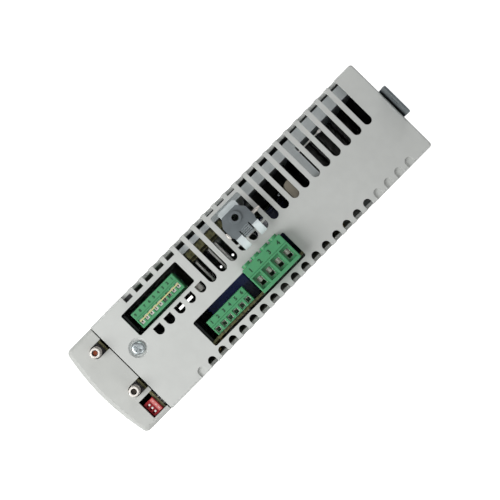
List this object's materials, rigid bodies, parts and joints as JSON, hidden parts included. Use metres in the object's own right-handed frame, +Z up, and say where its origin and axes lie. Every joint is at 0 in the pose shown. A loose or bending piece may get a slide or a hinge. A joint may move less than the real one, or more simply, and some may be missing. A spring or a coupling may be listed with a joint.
{
  "type": "servo drive",
  "caption": "Narrow book-form servo drive with a vented moulded housing, crowned front cover, pull-off screw terminals, fibre-optic ports, an address switch and a motor-cable shield clamp.",
  "frame": {"origin": "on the rear mounting plane, midway between the two panel screw holes", "axes": "+X to the right seen from the front, +Y from the front to the cabinet panel, +Z up towards the terminal end"},
  "size_m": [0.07, 0.2535, 0.344],
  "materials": {
    "housing_plastic": "fine moulded grain, light warm grey",
    "cover_plastic": "fine moulded grain, light warm grey",
    "smoked_lens": "polished smoked pane",
    "black_plastic": "moulded",
    "clear_plastic": "polished, translucent",
    "plated_steel": "tin plated",
    "label_film": "blank printed film",
    "grey_plastic": "moulded",
    "nickel": "nickel plated",
    "copper_lens": "polished",
    "dark_lens": "polished",
    "red_plastic": "moulded",
    "tinned_metal": "tin plated",
    "terminal_green": "moulded",
    "marker_yellow": "moulded",
    "zinc_steel": "zinc plated, faintly blue",
    "spring_steel": "zinc plated",
    "aluminium": "mill finish",
    "zinc_screw": "bright zinc plated",
    "board_olive": "glass-epoxy laminate with solder mask",
    "brass": "turned",
    "capacitor_sleeve": "heat-shrunk sleeve",
    "navy_plastic": "moulded case",
    "tan_resin": "dipped resin",
    "ferrite": "ground ferrite and tape",
    "white_plastic": "moulded"
  },
  "bodies": {
    "drive": {"main_housing": "housing_plastic", "front_cover": "cover_plastic", "display_window": "smoked_lens", "display_module": "black_plastic", "status_light_pipes": "clear_plastic", "service_socket": "plated_steel", "encoder_socket_shell": "plated_steel", "encoder_socket_insert": "black_plastic", "encoder_jack_posts": "plated_steel", "label_plate": "label_film", "fibre_port_housings": "grey_plastic", "fibre_port_barrels": "nickel", "fibre_transmitter_core": "copper_lens", "fibre_receiver_core": "dark_lens", "dip_switch_body": "red_plastic", "dip_switch_pins": "tinned_metal", "motor_header": "terminal_green", "brake_header": "terminal_green", "control_header": "terminal_green", "mains_header": "terminal_green", "header_pins": "tinned_metal", "shield_bracket": "zinc_steel", "clamp_pin": "nickel", "heat_sink": "aluminium", "chassis_partition": "aluminium", "rear_plate": "zinc_steel", "rear_plate_screws": "zinc_screw", "mounting_bracket": "zinc_steel", "bracket_rivets": "zinc_screw", "housing_screws": "zinc_screw", "power_board": "board_olive", "board_standoffs": "brass", "control_board": "board_olive", "control_board_screws": "zinc_screw", "io_board": "board_olive", "driver_board": "board_olive", "bus_bars": "tinned_metal", "bus_capacitors": "capacitor_sleeve", "film_capacitor": "navy_plastic", "suppression_capacitor": "tan_resin", "transformer": "ferrite", "power_module": "black_plastic", "heat_sink_screws": "zinc_screw"},
    "motor_plug": {"motor_plug": "terminal_green", "motor_plug_screws": "nickel", "motor_plug_cages": "tinned_metal"},
    "brake_plug": {"brake_plug": "terminal_green", "brake_plug_screws": "nickel", "brake_plug_cages": "tinned_metal"},
    "control_plug": {"control_plug": "terminal_green", "control_plug_marker": "marker_yellow", "control_plug_screws": "nickel", "control_plug_cages": "tinned_metal"},
    "mains_plug": {"mains_plug": "terminal_green", "mains_plug_screws": "nickel", "mains_plug_cages": "tinned_metal"},
    "dip_lever_1": {"dip_lever_1": "white_plastic"},
    "dip_lever_2": {"dip_lever_2": "white_plastic"},
    "dip_lever_3": {"dip_lever_3": "white_plastic"},
    "clamp_saddle": {"clamp_saddle": "spring_steel"}
  },
  "joints": [
    {"name": "motor_plug_pull", "type": "slide", "parent": "drive", "child": "motor_plug", "axis": [0, 0, 1], "range_m": [0, 0.015]},
    {"name": "brake_plug_pull", "type": "slide", "parent": "drive", "child": "brake_plug", "axis": [0, 0, 1], "range_m": [0, 0.013]},
    {"name": "control_plug_pull", "type": "slide", "parent": "drive", "child": "control_plug", "axis": [0, 0, 1], "range_m": [0, 0.012]},
    {"name": "mains_plug_pull", "type": "slide", "parent": "drive", "child": "mains_plug", "axis": [0, 0, -1], "range_m": [0, 0.015]},
    {"name": "dip_lever_1_slide", "type": "slide", "parent": "drive", "child": "dip_lever_1", "axis": [0, -1, 0], "range_m": [0, 0.0014]},
    {"name": "dip_lever_2_slide", "type": "slide", "parent": "drive", "child": "dip_lever_2", "axis": [0, -1, 0], "range_m": [0, 0.0014]},
    {"name": "dip_lever_3_slide", "type": "slide", "parent": "drive", "child": "dip_lever_3", "axis": [0, -1, 0], "range_m": [0, 0.0014]},
    {"name": "clamp_saddle_swing", "type": "hinge", "parent": "drive", "child": "clamp_saddle", "pos_m": [-0.0137, -0.11915, 0.1636], "axis": [0, 1, 0], "range_deg": [-14, 30]}
  ]
}
